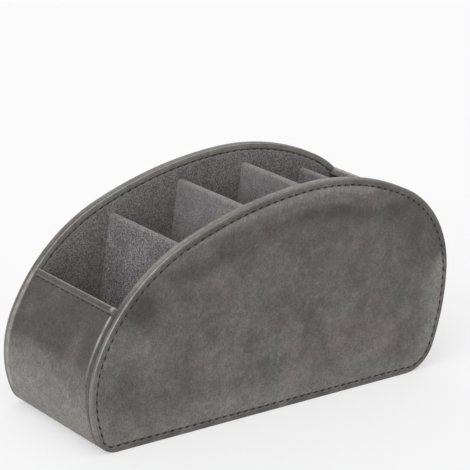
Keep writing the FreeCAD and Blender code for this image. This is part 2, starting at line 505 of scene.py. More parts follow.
# Soft dark and light clouds of the near panel: places along X and Z, reach along each, and strength
near_panel_clouds = (
    (-0.092, 0.078, 0.011, 0.010, -1.25),
    (-0.062, 0.093, 0.018, 0.008, -1.0),
    (-0.036, 0.100, 0.017, 0.0075, -0.95),
    (-0.006, 0.108, 0.015, 0.006, -0.95),
    (0.018, 0.112, 0.012, 0.0055, -1.2),
    (0.040, 0.111, 0.012, 0.006, -1.25),
    (0.056, 0.106, 0.013, 0.007, -0.8),
    (0.081, 0.104, 0.012, 0.009, -1.1),
    (0.097, 0.088, 0.009, 0.012, -0.8),
    (0.104, 0.073, 0.008, 0.008, -0.35),
    (0.060, 0.089, 0.008, 0.009, -0.45),
    (0.050, 0.074, 0.014, 0.017, -0.40),
    (-0.032, 0.076, 0.006, 0.009, -0.40),
    (-0.045, 0.021, 0.010, 0.010, -0.45),
    (-0.063, 0.064, 0.014, 0.012, 0.35),
    (-0.012, 0.054, 0.012, 0.009, 0.45),
    (0.020, 0.068, 0.012, 0.014, 0.25),
    (0.000, 0.081, 0.016, 0.012, 0.35),
    (-0.022, 0.079, 0.012, 0.010, 0.3),
    (0.111, 0.045, 0.007, 0.022, 0.35),
    (-0.100, 0.056, 0.015, 0.008, 0.3),
    (0.062, 0.021, 0.013, 0.009, 0.3),
    (-0.030, 0.013, 0.080, 0.012, 0.6),
    (-0.086, 0.047, 0.020, 0.020, 0.5),
    (0.088, 0.063, 0.018, 0.020, -0.55),
)

# A cloud's darkest and palest value
cloud_limits = (-1.5, 1.2)

# Painted highlight and darkening on the leather just inside the sewn row, at directions round the outline:
# pale above 0, dark below
seam_glow_levels = (
    (0, 0.9),
    (98, 1.2),
    (108, -0.55),
    (150, -0.65),
    (166, 1.25),
    (198, 1.15),
    (212, 0.15),
    (236, -0.35),
    (262, -0.35),
    (275, 0.6),
    (300, 0.3),
    (360, 0.6),
)
seam_glow_strength = 0.9
seam_glow_inset = 0.0048
seam_glow_reach = 0.0065

# Stretches of the outline, in degrees: where an effect starts, is full, fades and ends
worn_top = (85, 125, 235, 262)
open_top = (95, 125, 222, 232)
tuck_start = (229, 235)
low_front = (250, 260, 284, 300)
far_front = (228, 238, 272, 296)

# Places on a panel's edge
corner_inset = 0.00022
corner_depth = 0.00024
edge_reach = 0.0008
face_depth = 0.0010
face_start = 0.0012
press_shade_breadth = 0.0003

# How strongly the rubbing, the painted highlights, the painted light and the painted shade of a panel show
least_ridge_wear_and_highlight = 0.08
lip_ridge_wear_and_highlight = 0.95
top_ridge_wear_and_highlight = 0.34
top_fold_wear_and_highlight = 0.30
top_crest_wear_and_highlight = 0.22
foot_wear = 0.21
far_front_wear_and_highlight = 0.6
wall_fold_shade = 0.5
sewn_row_shade = 0.35
press_line_shade = 0.5
far_ridge_wear_and_highlight = 0.95
far_hem_wear = 0.28
far_border_painted_light = 0.16
far_hem_painted_light = 1.1
far_groove_shade = 0.5
near_tuck_shade = 1.5
hem_press_line_shade = 0.2


def scattered_clouds(seed):
    """Clouds for the far panel: dark ones under the rim, light ones lower down."""
    chance = random.Random(seed)
    clouds = []
    for number in range(9):
        direction = 60 + 19 * number + chance.uniform(-6, 6)
        place = outline_point(direction, chance.uniform(0.013, 0.024))
        clouds.append(place + (chance.uniform(0.008, 0.016), chance.uniform(0.006, 0.009), -0.7))
    for number in range(6):
        clouds.append((chance.uniform(-0.09, 0.09), chance.uniform(0.02, 0.07), 0.014, 0.010, 0.35))
    return clouds


def cloud_values(across, up, clouds):
    """Sum of the clouds over flat places."""
    value = np.zeros(len(across))
    for centre_x, centre_z, reach_x, reach_z, strength in clouds:
        spread = ((across - centre_x) / reach_x) ** 2 + ((up - centre_z) / reach_z) ** 2
        value += strength * np.exp(-spread)
    return np.clip(value, *cloud_limits)


def seam_glow(directions, inset):
    """Painted highlight on the leather just inside the sewn row, where its crown catches the light, on most
    sides; darker there at the rear top.
    """
    ways, levels = zip(*seam_glow_levels)
    fade = np.exp(-np.maximum(inset - seam_glow_inset, 0) / seam_glow_reach)
    fade = fade * smooth_step(inset, seam_inset, seam_glow_inset)
    return seam_glow_strength * np.interp(directions, ways, levels) * fade


def ridge_wear_and_highlight(directions):
    """How strongly a panel's corner shows rubbing and painted highlight: most beside the lip, some over the
    top, little round the foot.
    """
    beside = lip_ridge_wear_and_highlight * bell(directions, 232, 22)
    return np.clip(least_ridge_wear_and_highlight + beside + top_ridge_wear_and_highlight * stretch(directions, *worn_top), 0, 1)


def beside_lip(directions):
    """Shade where the front strip tucks in beside a panel: most at the lip, none at the foot."""
    fade = (1 - 0.75 * smooth_step(directions, 244, 264)) * (1 - smooth_step(directions, 268, 310))
    return smooth_step(directions, *tuck_start) * fade


def corner_line(inset, depth, inset_breadth, depth_breadth):
    """1 along the ridge of a panel's corner."""
    return bell(inset, corner_inset, inset_breadth) * bell(depth, corner_depth, depth_breadth)


def groove_shade(inset, depth):
    """1 deep between the two folds that meet in a panel's edge."""
    return smooth_step(depth, groove_fold_end - 0.0007, groove_fold_end - 0.0002) * (inset < edge_reach)


def press_shade(inset, depth):
    """1 in the line pressed outside the sewn row."""
    return bell(inset, press_line_inset, press_shade_breadth) * (depth < face_depth) * (inset > face_start)


def strongest(values):
    """The highest of several values, place by place."""
    return np.maximum.reduce(values)


# Where a panel's leather ends under its skin
under_edge = [(leather_thickness, leather_thickness)]


def panel_leather(side, node, clouds):
    """Outer leather of one side panel: face, rounded corner and fold into the groove."""
    section = edge_section(outer_face_insets)
    made = panel_mesh(section, under_edge, seam_drop, True, side, False, panel_spacing)
    points, faces, inset, depth, directions = made
    on_face = (inset > panel_wave_rise[0]) & (depth < face_depth)
    waves = swell(points, panel_wave_length, 3 + side) * leather_wave + leather_wave
    points[:, 1] -= side * np.where(on_face, waves * smooth_step(inset, *panel_wave_rise), 0)
    top = stretch(directions, *open_top)
    foot = stretch(directions, *low_front)
    beside_wall = beside_lip(directions)
    edge = inset < edge_reach
    # Rubbing with painted highlight on the corner's ridge, the fold and the crest over the top and, on the
    # far panel, the fold at the front; rubbing on the low front
    wear = [
        corner_line(inset, depth, 0.00028, 0.00033) * ridge_wear_and_highlight(directions),
        top_fold_wear_and_highlight * top * smooth_step(depth, 0.0013, 0.0019) * edge,
        top_crest_wear_and_highlight * top * bell(inset, 0.0005, 0.0007) * (depth < 0.0008),
        foot_wear * foot * (inset < 0.0030),
    ]
    if side > 0:
        fold = bell(depth, 0.0007, 0.0009) * (inset < 0.0004)
        wear.append(far_front_wear_and_highlight * stretch(directions, *far_front) * fold)
    # Painted shade in the groove, the fold beside the front wall, the sewn row and the pressed line
    sewn_row = bell(inset, seam_inset, seam_half_breadth) * (depth < face_depth) * (inset > face_start)
    painted_shade = [
        groove_shade(inset, depth) * (1 - 0.75 * beside_wall) * (1 - 0.8 * top) * (1 - 0.7 * foot),
        wall_fold_shade * beside_wall * smooth_step(depth, 0.0009, 0.0016) * edge,
        sewn_row_shade * sewn_row,
        press_line_shade * press_shade(inset, depth),
    ]
    # Painted clouds, and a painted highlight just inside the sewn row
    cloud = cloud_values(points[:, 0], points[:, 2], clouds) + seam_glow(directions, inset)
    values = {"wear": strongest(wear), "painted_shade": strongest(painted_shade), "cloud": np.clip(cloud, *cloud_limits)}
    make_piece(node + "_sewn", points, faces, leather, values, (node,))


def panel_rim(side, node):
    """Hem of the leather from the groove over the inner corner, sewn down on the inner face."""
    section = edge_section(face_insets)
    section += [(rim_band_width - cut_radius, 0.00003), (rim_band_width, 0.00015)]
    section += [(rim_band_width, leather_thickness)]
    made = panel_mesh(section, under_edge, seam_drop, False, side, True, panel_spacing)
    points, faces, inset, depth, directions = made
    corner = corner_line(inset, depth, 0.00024, 0.00028)
    groove = groove_shade(inset, depth)
    edge = inset < 0.0012
    beside_wall = beside_lip(directions)
    if side < 0:
        # Rubbing and painted highlight on the corner and across the edge over the top; painted shade in the
        # groove and beside the front wall
        top = stretch(directions, *open_top)
        band = 0.30 * smooth_step(depth, 0.0005, 0.0011) + 0.30 * bell(depth, 0.0017, 0.0006)
        wear = [corner * (0.45 + 0.5 * ridge_wear_and_highlight(directions)) * (1 - beside_wall), top * band * edge]
        painted_shade = [groove * (1 - 0.8 * top), near_tuck_shade * beside_wall * edge]
        cloud = np.zeros(len(points))
    else:
        # Rubbing with painted highlight on the ridge and on the edge beside the front wall, rubbing on the
        # hem's outer border, and painted light on its inner border, which the hem's step would shade
        hem = (depth < face_depth) & (inset > 0.0006)
        wear = [
            far_ridge_wear_and_highlight * corner,
            far_hem_wear * hem * (1 - smooth_step(inset, 0.0018, 0.0028)),
            far_border_painted_light * hem * smooth_step(inset, 0.0040, 0.0046),
            far_front_wear_and_highlight * smooth_step(directions, *tuck_start) * (directions < 300) * edge,
        ]
        painted_shade = [far_groove_shade * groove * (1 - beside_wall)]
        # Painted light that makes the whole hem paler
        cloud = far_hem_painted_light * hem
    painted_shade.append(hem_press_line_shade * press_shade(inset, depth))
    values = {"wear": strongest(wear), "painted_shade": strongest(painted_shade), "cloud": cloud}
    make_piece(node + "_sewn", points, faces, leather, values, (node,))


def flat_drop(inset, phase):
    """A lining lies flat and turns down a little at its edge, under a stitch as between two."""
    return lining_turn_drop * np.exp(-np.maximum(inset - rim_band_width, 0) / lining_turn_reach)


def panel_lining(side, node):
    """Suede lining of one side panel, butted against the hem."""
    start = rim_band_width - 0.0002
    top = wall_thickness - floor_height
    section = [(start, top + 0.0001), (start + 0.0002, top), (start + 0.0009, top), (start + 0.002, top)]
    closing = [(start, top + suede_thickness)]
    made = panel_mesh(section, closing, flat_drop, True, side, True, lining_spacing)
    points, faces, inset, depth, directions = made
    on_face = (inset > panel_lining_rise[0]) & (depth < top + 0.0005)
    wave_height, wave_length = panel_lining_wave
    waves = swell(points, wave_length, 11 + side) * wave_height
    points[:, 1] += side * np.where(on_face, waves * smooth_step(inset, *panel_lining_rise), 0)
    values = {"wear": np.zeros(len(points)), "painted_shade": low_shade(points[:, 2])}
    make_piece(node + "_laid", points, faces, lining_suede, values, (node,))


def low_shade(height):
    """Painted shade that darkens the suede low down, towards the floor."""
    return low_shade_strength * (1 - smooth_step(height, floor_height, floor_height + low_shade_height))


# Walls and dividers are sheets swept across the holder along a path in the side view

def path_normals(path):
    """Unit normals of an open path, to the left of the way it runs."""
    ahead = np.gradient(path, axis=0)
    ahead /= np.linalg.norm(ahead, axis=1)[:, None]
    return np.stack([-ahead[:, 1], ahead[:, 0]], 1)


def push(points, normals, amount):
    """Moves the points of a grid along the normal that each row has in the side view."""
    points[:, :, 0] += normals[:, None, 0] * amount
    points[:, :, 2] += normals[:, None, 1] * amount


def swept_sheet(path, inward, across, sink):
    """Grid points of a sheet from its path and normals in the side view, its places across and their sink."""
    points = np.zeros((len(path), len(across), 3))
    points[:, :, 0] = path[:, None, 0]
    points[:, :, 1] = across[None, :]
    points[:, :, 2] = path[:, None, 1]
    push(points, inward, sink)
    return points


def lay_sheet(name, points, flip, material, values, thickness, node):
    """Piece from a grid of points, with a sheet's thickness."""
    faces = grid_faces(points.shape[:2], flip)
    masks = {mask: numbers.ravel() for mask, numbers in values.items()}
    piece = make_piece(name, points.reshape(-1, 3), faces, material, masks, (node,))
    thicken(piece, thickness * sheet_share)


def side_places(half, near, far, inner_places):
    """Places across a sheet and how far each lies below its face.

    near and far give the breadth and depth of the fold at either side.
    """
    low = [(near[0] * (1 - math.sin(angle)) - half, near[1] * (1 - math.cos(angle)))
           for angle in quarter(side_fold_steps)]
    high = [(half - far[0] * (1 - math.sin(angle)), far[1] * (1 - math.cos(angle)))
            for angle in quarter(side_fold_steps)]
    places = low[::-1] + [(place, 0.0) for place in inner_places] + high
    return np.array([place for place, drop in places]), np.array([drop for place, drop in places])


def even_steps(start, end, size):
    """Evenly spaced numbers from start to end, at most size apart."""
    return list(np.linspace(start, end, max(2, int(math.ceil(abs(end - start) / size)) + 1)))


def wall_place(start, distance, inset):
    """Point at a distance along the wall from its end at a direction, measured on the line at inset."""
    x, z, way = walk(distance_to(start, inset) + distance, inset)
    return x, z


def end_path(start, sign):
    """(point, distance, inset) triples from a hem's cut edge over the top of a wall to its outer face."""
    hem = even_steps(lip_hem_length, lip_fold_radius, hem_spacing)
    pairs = [(distance, wall_thickness) for distance in hem]
    for angle in quarter(5)[1:]:
        sink = wall_thickness - lip_fold_radius * (1 - math.cos(angle))
        pairs.append((lip_fold_radius * (1 - math.sin(angle)), sink))
    pairs.append((0.0, (wall_thickness - lip_fold_radius + wall_fold_radius) / 2))
    for angle in quarter(6):
        pairs.append((wall_fold_radius * (1 - math.cos(angle)), wall_fold_radius * (1 - math.sin(angle))))
    pairs += [(distance, 0.0) for distance in even_steps(wall_fold_radius, fine_run, edge_spacing)[1:]]
    return [(wall_place(start, sign * distance, inset), distance, inset) for distance, inset in pairs]


# Clouds of the strip round the front: distance from the lip, place across, reach along each and strength
wall_clouds = (
    (0.029, 0.004, 0.006, 0.016, -1.25),
    (0.024, 0.014, 0.007, 0.008, -0.625),
    (0.013, -0.008, 0.008, 0.012, -0.5625),
    (0.018, -0.032, 0.018, 0.005, -0.875),
    (0.034, 0.034, 0.005, 0.010, -0.75),
    (0.009, 0.030, 0.006, 0.010, -0.375),
    (0.027, -0.021, 0.006, 0.007, 0.5),
    (0.023, 0.026, 0.005, 0.006, 0.4375),
)

# How strongly the rubbing, the painted highlights and the painted shade of the strip show
near_ridge_wear_and_highlight = 1.1
lip_fold_wear_and_highlight = 1.25
ply_line_wear = 0.30
inner_fold_wear = 0.4
lump_highlight = 0.95
lip_seam_shade = 0.25
far_gap_shade = 0.15
pinch_shade = 1.7

# The lump at the near end of the lip and the pinch below it
lump_height = 0.0003
pinch_depth = 0.0006

# The stretch across the walls that is sewn, between the folds at both sides
sewn_low = -wall_half_width + near_fold_breadth + 0.0003
sewn_high = wall_half_width - far_fold_radius - 0.0008


def wrap_path():
    """Places of the strip in the side view, their way from the lip, depth in the wall and the whole way."""
    lip_start = distance_to(lip_direction, 0.0)
    run_start = lip_start + fine_run
    run_end = round_length(0.0) + distance_to(rear_direction, 0.0) - fine_run
    whole_way = run_end + fine_run - lip_start
    stops = end_path(lip_direction, 1)
    for distance in even_steps(run_start, run_end, base_spacing)[1:-1]:
        stops.append((walk(distance, 0.0)[:2], distance - lip_start, 0.0))
    for place, distance, inset in end_path(rear_direction, -1)[::-1]:
        stops.append((place, whole_way - distance, inset))
    path, travel, depth = (np.array(column) for column in zip(*stops))
    return path, travel[:, None], depth[:, None], whole_way


def wrap_leather():
    """Leather strip over the lip, down the front, under the base, up the rear and over its top."""
    path, travel, depth, whole_way = wrap_path()
    inward = path_normals(path)
    inner = np.linspace(sewn_low, sewn_high, lip_stitch_count * samples_per_stitch + 1)
    near_fold = (near_fold_breadth, near_fold_depth)
    across, side_drop = side_places(wall_half_width, near_fold, (far_fold_radius, far_fold_radius), inner)
    before_sewn = side_fold_steps + 1
    phase = (np.arange(len(across)) - before_sewn) % samples_per_stitch / samples_per_stitch
    from_end = np.minimum(travel, whole_way - travel)
    outside = (depth < 0.0001).astype(float)
    inside = (depth > wall_thickness - 0.0001).astype(float)
    lip_pull = (across > sewn_low - 0.0002) & (across < sewn_high + 0.0002)
    sewn = (from_end < fine_run) * (outside + 0.5 * inside)
    sink = side_drop + seam_drop(from_end - lip_seam_drop + seam_inset, phase) * lip_pull * sewn
    points = swept_sheet(path, inward, across, sink)
    shape = points.shape[:2]
    waves = swell(points.reshape(-1, 3), strip_wave_length, 21).reshape(shape) * leather_wave + leather_wave
    calm = smooth_step(wall_half_width - np.abs(across), 0.003, 0.010) * smooth_step(from_end, 0.007, 0.014)
    push(points, inward, waves * calm * outside * (path[:, 1:] > 0.004))
    height = points[:, :, 2]
    front = points[:, :, 0] < 0

    # Rubbing with painted highlight on the ridges along both panels and on the folded plies at the top
    near_ridge = bell(across, -wall_half_width + near_fold_breadth - 0.0005, 0.0006)
    far_ridge = bell(across, wall_half_width - 0.0004, 0.0004)
    rear_worn_and_lit = smooth_step(height, 0.030, 0.080)
    near_worn_and_lit = np.where(front, smooth_step(height, 0.038, 0.066), 0.25 * rear_worn_and_lit)
    far_worn_and_lit = np.where(front, 0.65 * smooth_step(height, 0.015, 0.045), 0.2 * rear_worn_and_lit)
    below_end = smooth_step(from_end, 0.0046, 0.0060)
    ridges = (near_ridge_wear_and_highlight * near_ridge * near_worn_and_lit * below_end + far_ridge * far_worn_and_lit) * outside
    top_fold = bell(depth, 0.0010, 0.00052) * (from_end < 0.0015)
    ply_line = bell(from_end, 0.0035, 0.00030) * outside
    inner_fold = bell(depth, wall_thickness - 0.0003, 0.0006) * (from_end < 0.002)
    plies = lip_fold_wear_and_highlight * top_fold + ply_line_wear * ply_line + inner_fold_wear * inner_fold
    plies = plies * (0.6 + 0.4 * lip_pull)

    # The lump at the near end of the lip, where the hem tucks in, with a painted highlight, and the pinch
    # below it, with painted shade
    lump = bell(across, -wall_half_width + 0.0032, 0.0013) * bell(from_end, 0.0012, 0.0015)
    lump = lump * (depth < 0.0022) * (travel < 0.1)
    pinch = bell(across, -wall_half_width + 0.0026, 0.0008) * bell(from_end, 0.0043, 0.0008) * outside * front
    push(points, inward, pinch * pinch_depth - lump * lump_height)
    wear = strongest([ridges, plies, lump_highlight * lump])

    # Shade in the seam and in the gaps beside the panels, and clouds below the lip
    seam = bell(from_end, lip_seam_drop, 0.0007) * outside
    near_gap = smooth_step(side_drop, 0.00008, 0.00045) * (across < 0)
    far_gap = smooth_step(side_drop, 0.0005, 0.0009) * (across > 0)
    deep = 0.35 + 0.65 * smooth_step(height, 0.020, 0.050)
    gaps = (near_gap + far_gap_shade * far_gap) * outside * deep
    painted_shade = strongest([lip_seam_shade * seam * lip_pull, gaps, pinch_shade * pinch])
    below_lip = 0.85 * smooth_step(travel, 0.032, 0.066) - (1 - smooth_step(travel, 0.026, 0.052))
    cloud = below_lip * outside * (travel < 0.16) + np.zeros(shape)
    for middle, place, reach, breadth, strength in wall_clouds:
        cloud += strength * bell(travel, middle, reach) * bell(across, place, breadth) * outside
    values = {"wear": wear, "painted_shade": painted_shade, "cloud": np.clip(cloud, *cloud_limits)}
    lay_sheet("wrap_leather_folded", points, False, strip_leather, values, leather_thickness,
              "wrap_leather")


def lining_sheet(node, start, end, spacing, seed):
    """Suede glued to a wall or the base, from panel to panel, between two distances along its own line."""
    path = np.array([walk(distance, floor_height)[:2] for distance in even_steps(start, end, spacing)])
    inward = path_normals(path)
    middle = even_steps(-wall_half_width + lining_margin, wall_half_width - lining_margin, panel_spacing)
    across, side_drop = side_places(wall_half_width, lining_fold, lining_fold, middle)
    points = swept_sheet(path, -inward, across, side_drop + np.zeros((len(path), 1)))
    wave_height, wave_length = wall_lining_wave
    waves = swell(points.reshape(-1, 3), wave_length, seed).reshape(points.shape[:2]) * wave_height
    rows = np.arange(len(path))[:, None]
    push(points, inward, -waves * smooth_step(rows, 0, 4) * smooth_step(len(path) - 1 - rows, 0, 4))
    values = {"wear": np.zeros(points.shape[:2]), "painted_shade": low_shade(points[:, :, 2])}
    lay_sheet(node + "_laid", points, True, lining_suede, values, suede_thickness, node)


def wall_linings():
    """Suede on the front wall, the base and the rear wall."""
    length = round_length(floor_height)
    hem = lip_hem_length + glue_line
    front_start = distance_to(lip_direction, floor_height) + hem
    front_end = distance_to(360.0, floor_height)
    rear_end = distance_to(rear_direction, floor_height) - hem
    lining_sheet("front_wall_lining", front_start, front_end, wall_spacing, 31)
    lining_sheet("floor_lining", front_end, length, base_spacing, 32)
    lining_sheet("rear_wall_lining", 0.0, rear_end, wall_spacing, 33)


def height_at(x):
    """Height of the outline's upper side at a place along the holder."""
    return outline_point(direction_where(lambda point: point[0] < x, 90, 270))[1]


def divider_top(floor_x):
    """Height of a divider's top, a drop below the outline where its leaning middle ends."""
    top = height_at(floor_x) - divider_drop
    for step in range(settling_steps):
        top = height_at(floor_x + (top - floor_height) * math.tan(divider_lean)) - divider_drop
    return top


def divider_path(floor_x, top):
    """Side view of a divider's suede: up the front, over a round top and down the back."""
    along = np.array([math.sin(divider_lean), math.cos(divider_lean)])
    ahead = np.array([along[1], -along[0]])
    half = divider_thickness / 2
    head = np.array([floor_x + (top - floor_height) * math.tan(divider_lean), top])
    shoulder = head - along * half
    reach = (shoulder[1] - floor_height) / math.cos(divider_lean)
    foot_trim = half * math.tan(divider_lean)
    front = even_steps(reach - foot_trim, 0.0, wall_spacing)
    back = even_steps(0.0, reach + foot_trim, wall_spacing)
    bend = [math.pi * step / 10 for step in range(1, 10)]
    path = [shoulder - ahead * half - along * down for down in front]
    path += [shoulder - ahead * half * math.cos(turn) + along * half * math.sin(turn) for turn in bend]
    path += [shoulder + ahead * half - along * down for down in back]
    return np.array(path)


def divider_cover(number):
    """Suede folded over a divider's board."""
    floor_x = front_x + first_divider_setback + (number - 1) * divider_pitch
    top = divider_top(floor_x)
    path = divider_path(floor_x, top)
    outward = path_normals(path)
    margin = divider_half_width - divider_margin
    middle = even_steps(-margin, margin, wall_spacing)
    across, side_drop = side_places(divider_half_width, divider_fold, divider_fold, middle)
    sink = side_drop * divider_fold_share + np.zeros((len(path), 1))
    points = swept_sheet(path, -outward, across, sink)
    height = points[:, :, 2]
    wave_height, wave_length = divider_wave
    waves = swell(points.reshape(-1, 3), wave_length, 40 + number).reshape(height.shape) * wave_height
    push(points, outward, waves * smooth_step(height, floor_height + 0.004, floor_height + 0.02))
    crest = bell(height, top, 0.0007)
    corner = bell(np.abs(across), divider_half_width, 0.0035) * smooth_step(height, top - 0.006, top)
    # Painted light: dividers after the first are paler all over
    all_over_painted_light = first_divider_painted_light if number == 1 else other_divider_painted_light
    wear = np.clip(divider_crest_wear * crest + divider_corner_wear * corner + all_over_painted_light, 0, 1)
    values = {"wear": wear, "painted_shade": low_shade(height)}
    node = "divider_%d_cover" % number
    lay_sheet(node + "_folded", points, False, divider_suede, values, suede_thickness, node)


# Stitches

def stitch_line(middle, along, sideways, outward, pitch):
    """Path of one stitch: out of its hole, over the leather and down into the next hole."""
    half = pitch * stitch_share / 2
    path = []
    for share in (-1.0, -0.92, -0.75, -0.4, 0.0, 0.4, 0.75, 0.92, 1.0):
        lift = thread_proud * (1 - share ** 6) - thread_bury * share ** 6
        path.append(middle + along * half * share + sideways * thread_slant * share + outward * lift)
    return path


def stitch_row(name, stitches, fineness):
    """One row of stitches as a mesh of short bent threads, each (path, outward, sideways)."""
    points, faces, travel, around = [], [], [], []
    for path, outward, sideways in stitches:
        first = len(points)
        length = 0.0
        for step, place in enumerate(path):
            if step:
                length += np.linalg.norm(place - path[step - 1])
            slim = fineness * (thread_end_share if step in (0, len(path) - 1) else 1.0)
            for corner in range(thread_corners):
                angle = 2 * math.pi * corner / thread_corners
                ring = sideways * math.cos(angle) * thread_width / 2 * slim
                ring = ring + outward * math.sin(angle) * thread_height / 2 * slim
                points.append(place + ring)
                travel.append(length)
                around.append(corner / thread_corners)
        last = len(points) - thread_corners
        for row in range(first, last, thread_corners):
            faces += loop_faces(row, row + thread_corners, thread_corners, False)
        faces.append(tuple(range(first, first + thread_corners))[::-1])
        faces.append(tuple(range(last, last + thread_corners)))
    values = {"travel": travel, "around": around}
    make_piece(name, points, faces, thread, values, ())


def panel_stitches(side, inner):
    """Stitches round one face of a side panel."""
    outline, inward, directions = stations(panel_stitch_count * 2, seam_inset)
    pitch = round_length(seam_inset) / panel_stitch_count
    face_y = half_width - wall_thickness if inner else half_width
    outward = np.array([0.0, -side if inner else side, 0.0])
    stitches = []
    for station in range(1, panel_stitch_count * 2, 2):
        flat = outline[station] + inward[station] * seam_place(directions[station])
        angle = math.radians(directions[station])
        along = np.array([math.cos(angle), 0.0, math.sin(angle)])
        sideways = np.array([inward[station][0], 0.0, inward[station][1]])
        middle = np.array([flat[0], side * face_y, flat[1]]) - outward * stitch_dip
        stitches.append((stitch_line(middle, along, sideways, outward, pitch), outward, sideways))
    name = "%s_panel_%s_stitches" % ("near" if side < 0 else "far", "inner" if inner else "outer")
    stitch_row(name, stitches, hidden_row_fineness if inner else 1.0)


def top_stitches(name, start, sign):
    """Stitches across the holder below the top of the front or rear wall."""
    x, z, way = walk(distance_to(start, 0.0) + sign * lip_seam_drop, 0.0)
    angle = math.radians(way)
    across = np.array([0.0, 1.0, 0.0])
    outward = np.array([math.sin(angle), 0.0, -math.cos(angle)])
    down = np.array([math.cos(angle), 0.0, math.sin(angle)]) * sign
    pitch = (sewn_high - sewn_low) / lip_stitch_count
    stitches = []
    for number in range(lip_stitch_count):
        middle = np.array([x, sewn_low + (number + 0.5) * pitch, z]) - outward * stitch_dip
        stitches.append((stitch_line(middle, across, down, outward, pitch), outward, down))
    stitch_row(name, stitches, hidden_row_fineness)


# Colours

def tone(red, green, blue):
    """Colour written as it looks, from 0 to 255."""
    def plain(value):
        value /= 255
        return value / 12.92 if value <= 0.04045 else ((value + 0.055) / 1.055) ** 2.4
    return plain(red), plain(green), plain(blue), 1.0


white = tone(255, 255, 255)
leather_warm = tone(110, 104, 101)
leather_cool = tone(101, 101, 97)
leather_dark = tone(84, 80, 77)
leather_light = tone(122, 118, 114)
leather_stained = tone(64, 60, 57)
# Pale clouds: partly the leather's own paleness, partly painted highlight and painted light
leather_pale_and_lit = tone(134, 132, 128)
# Painted shade in seams, grooves and gaps
leather_painted_shade = tone(48, 45, 42)
# Paler folds from rubbing, with painted highlights
leather_rubbed_and_lit = tone(176, 173, 167)
lining_tones = (tone(116, 113, 112), tone(126, 122, 119), tone(142, 139, 138))
divider_tones = (tone(103, 100, 102), tone(121, 118, 119), tone(134, 132, 131))
# Painted shade low down on the suede
suede_shaded = tone(60, 58, 58)
thread_dark = tone(20, 18, 17)
thread_light = tone(40, 37, 35)
board_brown = tone(132, 108, 80)
board_light = tone(150, 124, 94)
board_fibre = tone(112, 90, 66)
floor_seen = tone(234, 234, 235)
floor_unseen = tone(182, 182, 183)
background_seen = tone(250, 250, 250)


# Surface effects, each made once as a node group

class Shop:
    """Puts nodes into one tree and joins them."""

    def __init__(self, tree):
        self.tree = tree

    def give(self, node, inputs):
        """Feeds a node numbers, colours or outputs; an underscore stands for a space, i0 for input 0."""
        for name, value in inputs.items():
            counted = name[0] == "i" and name[1:].isdigit()
            socket = node.inputs[int(name[1:]) if counted else name.replace("_", " ")]
            if isinstance(value, bpy.types.NodeSocket):
                self.tree.links.new(value, socket)
            else:
                socket.default_value = value
        return node

    def put(self, kind, settings=None, **inputs):
        """New node with its settings and inputs."""
        node = self.tree.nodes.new(kind)
        for name, value in (settings or {}).items():
            setattr(node, name, value)
        return self.give(node, inputs)

    def use(self, group, **inputs):
        """Outputs of one use of a node group with its own values."""
        return self.put("ShaderNodeGroup", {"node_tree": group}, **inputs).outputs

    def math(self, operation, first, second=0.0):
        """Result of a sum or a function."""
        return self.put("ShaderNodeMath", {"operation": operation}, i0=first, i1=second).outputs[0]

    def times(self, first, second):
        """Product of two values."""
        return self.math("MULTIPLY", first, second)

    def plus(self, first, second):
        """Sum of two values."""
        return self.math("ADD", first, second)

    def scale_for(self, size):
        """Scale of a noise whose marks have a size."""
        return self.math("DIVIDE", 1.0, size)

    def ranged(self, value, low, high, to_low=0.0, to_high=1.0):
        """Value moved smoothly from one range to another."""
        node = self.put("ShaderNodeMapRange", {"interpolation_type": "SMOOTHSTEP"}, Value=value,
                        From_Min=low, From_Max=high, To_Min=to_low, To_Max=to_high)
        return node.outputs[0]

    def around_one(self, value, swing):
        """Factor that swings round 1."""
        return self.ranged(value, 0.0, 1.0, 1.0 - swing, 1.0 + swing)

    def clamped(self, value):
        """Value kept between 0 and 1."""
        return self.put("ShaderNodeClamp", Value=value).outputs[0]

    def blend(self, share, first, second, way="MIX"):
        """Colour between two."""
        settings = {"data_type": "RGBA", "blend_type": way}
        return self.put("ShaderNodeMix", settings, i0=share, i6=first, i7=second).outputs[2]

    def dim(self, colour, factor):
        """Colour made darker or lighter by a factor."""
        grey = self.put("ShaderNodeCombineColor", Red=factor, Green=factor, Blue=factor).outputs[0]
        return self.blend(1.0, colour, grey, "MULTIPLY")

    def noise(self, place, scale, detail, roughness, distortion):
        """Noise value."""
        node = self.put("ShaderNodeTexNoise", Vector=place, Scale=scale, Detail=detail,
                        Roughness=roughness, Distortion=distortion)
        return node.outputs[0]

    def vector(self, operation, first, second):
        """Vector sum or product."""
        return self.put("ShaderNodeVectorMath", {"operation": operation}, i0=first, i1=second).outputs[0]

    def object_place(self):
        """Place on the piece."""
        return self.put("ShaderNodeTexCoord").outputs["Object"]

    def painted(self, mask):
        """Value of a mask that the mesh carries."""
        return self.put("ShaderNodeAttribute", {"attribute_name": mask}).outputs["Fac"]


def new_group(name, inputs, results):
    """Empty node group that takes a place and numbers and gives numbers: its shop, inputs and output node."""
    tree = bpy.data.node_groups.new(name, "ShaderNodeTree")
    tree.interface.new_socket("Place", in_out="INPUT", socket_type="NodeSocketVector")
    for label in inputs:
        tree.interface.new_socket(label, in_out="INPUT", socket_type="NodeSocketFloat")
    for label in results:
        tree.interface.new_socket(label, in_out="OUTPUT", socket_type="NodeSocketFloat")
    shop = Shop(tree)
    return shop, shop.put("NodeGroupInput").outputs, shop.put("NodeGroupOutput")


